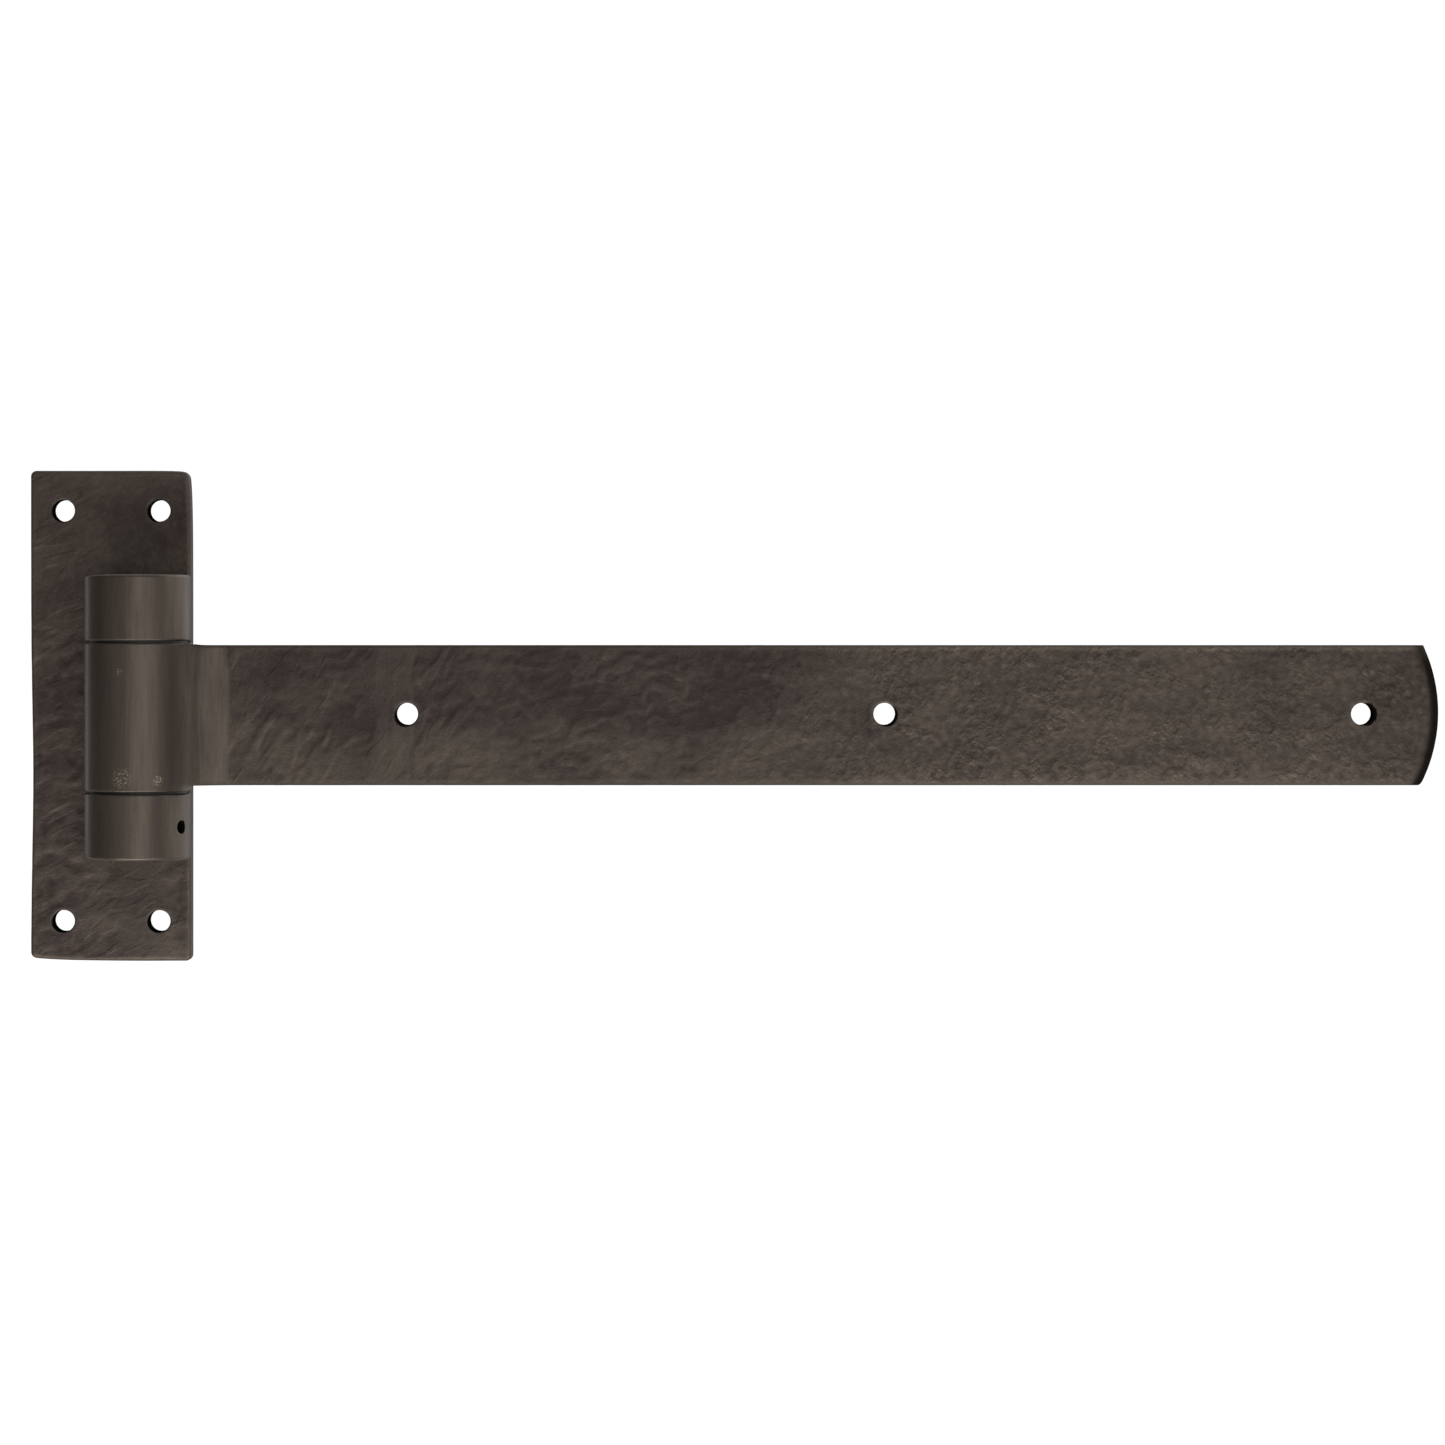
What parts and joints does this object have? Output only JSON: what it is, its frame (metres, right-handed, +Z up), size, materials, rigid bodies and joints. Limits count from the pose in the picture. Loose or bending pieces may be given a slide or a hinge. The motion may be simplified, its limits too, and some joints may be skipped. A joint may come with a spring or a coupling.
{
  "type": "t hinge",
  "caption": "T hinge for a gate or heavy door: an upright butt plate with knuckles and a long flat strap that swings on a plain pin held by a set screw.",
  "frame": {"origin": "centre of the butt plate's back face, where it lies on the post", "axes": "+X along the strap towards its tip, +Y out of the back of the plate into the post, +Z up along the hinge pin"},
  "size_m": [0.453, 0.041, 0.159],
  "materials": {
    "plate_bronze": "cast bronze with a dark brown patina, knuckles ground smooth",
    "strap_bronze": "cast bronze with a dark brown patina, hammered-looking skin",
    "pin_steel": "turned stainless steel",
    "screw_steel": "blackened steel",
    "washer_nylon": "black nylon"
  },
  "bodies": {
    "plate": {"butt_plate": "plate_bronze", "hinge_pin": "pin_steel", "set_screw": "screw_steel", "upper_washer": "washer_nylon", "lower_washer": "washer_nylon"},
    "strap": {"strap": "strap_bronze"}
  },
  "joints": [
    {"name": "strap_swing", "type": "hinge", "parent": "plate", "child": "strap", "pos_m": [0.0112, -0.0239, 0], "axis": [0, 0, -1], "range_deg": [-30, 195]}
  ]
}
